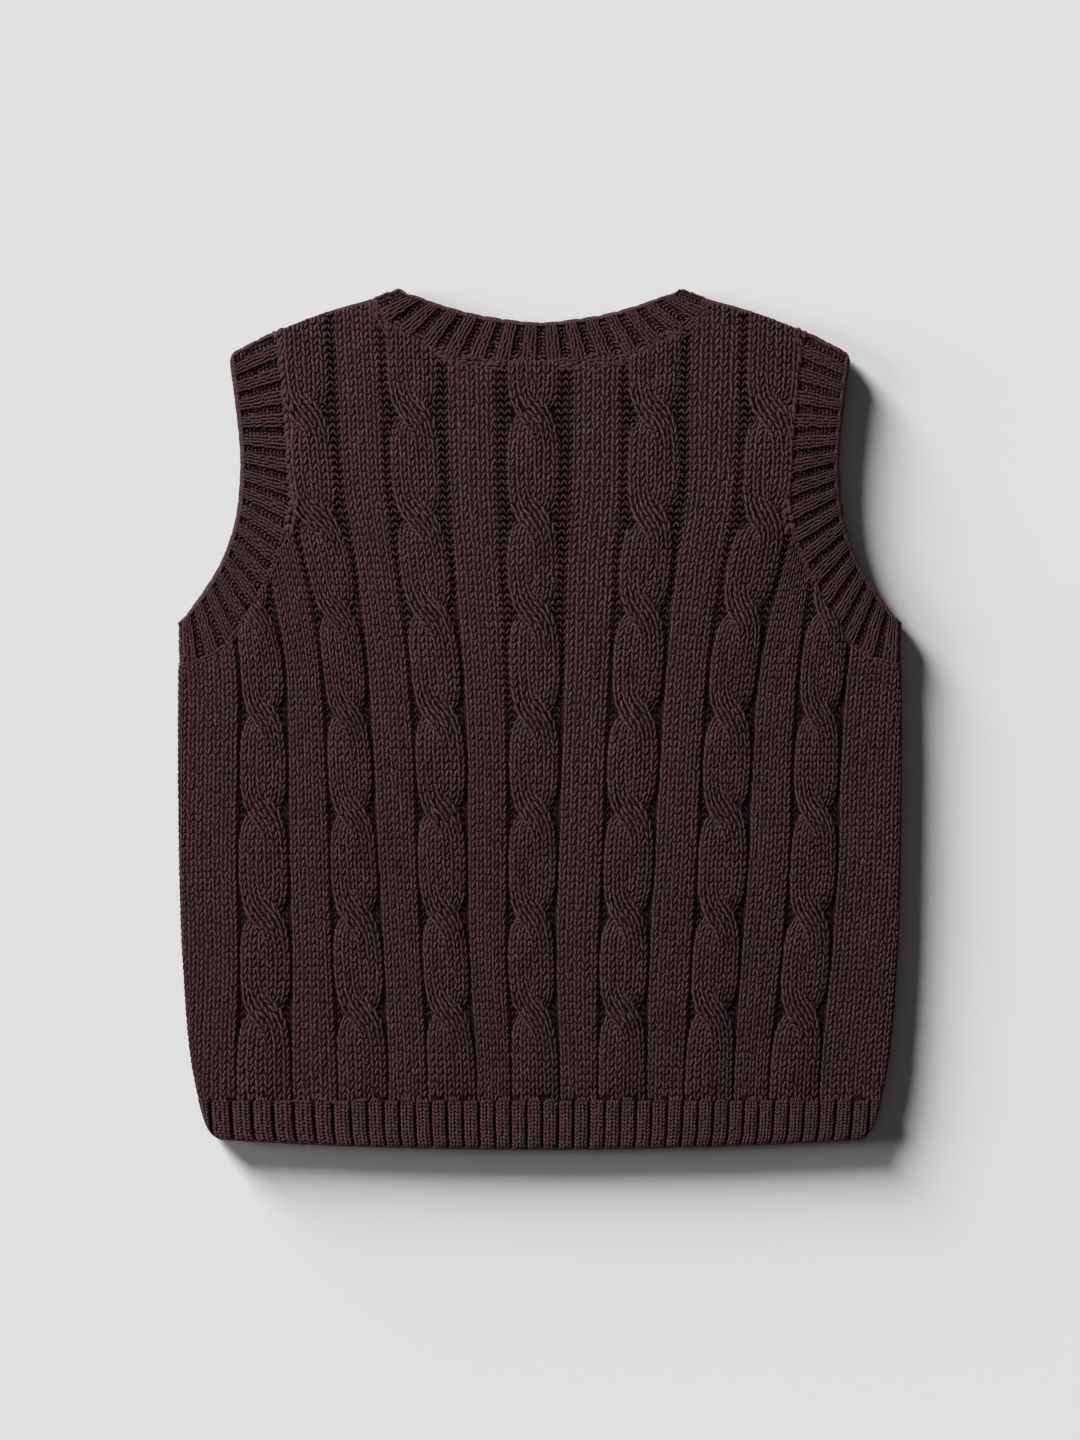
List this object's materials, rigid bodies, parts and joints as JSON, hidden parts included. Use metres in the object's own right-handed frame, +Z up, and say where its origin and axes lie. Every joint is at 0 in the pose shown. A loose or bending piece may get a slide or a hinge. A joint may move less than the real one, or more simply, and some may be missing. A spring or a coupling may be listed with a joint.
{
  "type": "knitted sweater vest",
  "caption": "Child's cable-knit sweater vest laid flat with its back up: cabled back with ribbed hem, plain front with a V neck, ribbed neckband and armhole bands.",
  "frame": {"origin": "on the surface the vest lies on, under the middle of its outline", "axes": "+Z up from the surface, out of the vest's back; +Y from the hem to the neck; +X to the wearer's right side"},
  "size_m": [0.2836, 0.3364, 0.0088],
  "materials": {
    "knit": "matte, soft cotton yarn in plain and cable knit",
    "rib": "matte, soft cotton yarn in rib knit"
  },
  "bodies": {
    "root": {"back_panel": "knit", "front_panel": "knit", "neckband": "rib", "armhole_band_left": "rib", "armhole_band_right": "rib"}
  },
  "joints": []
}
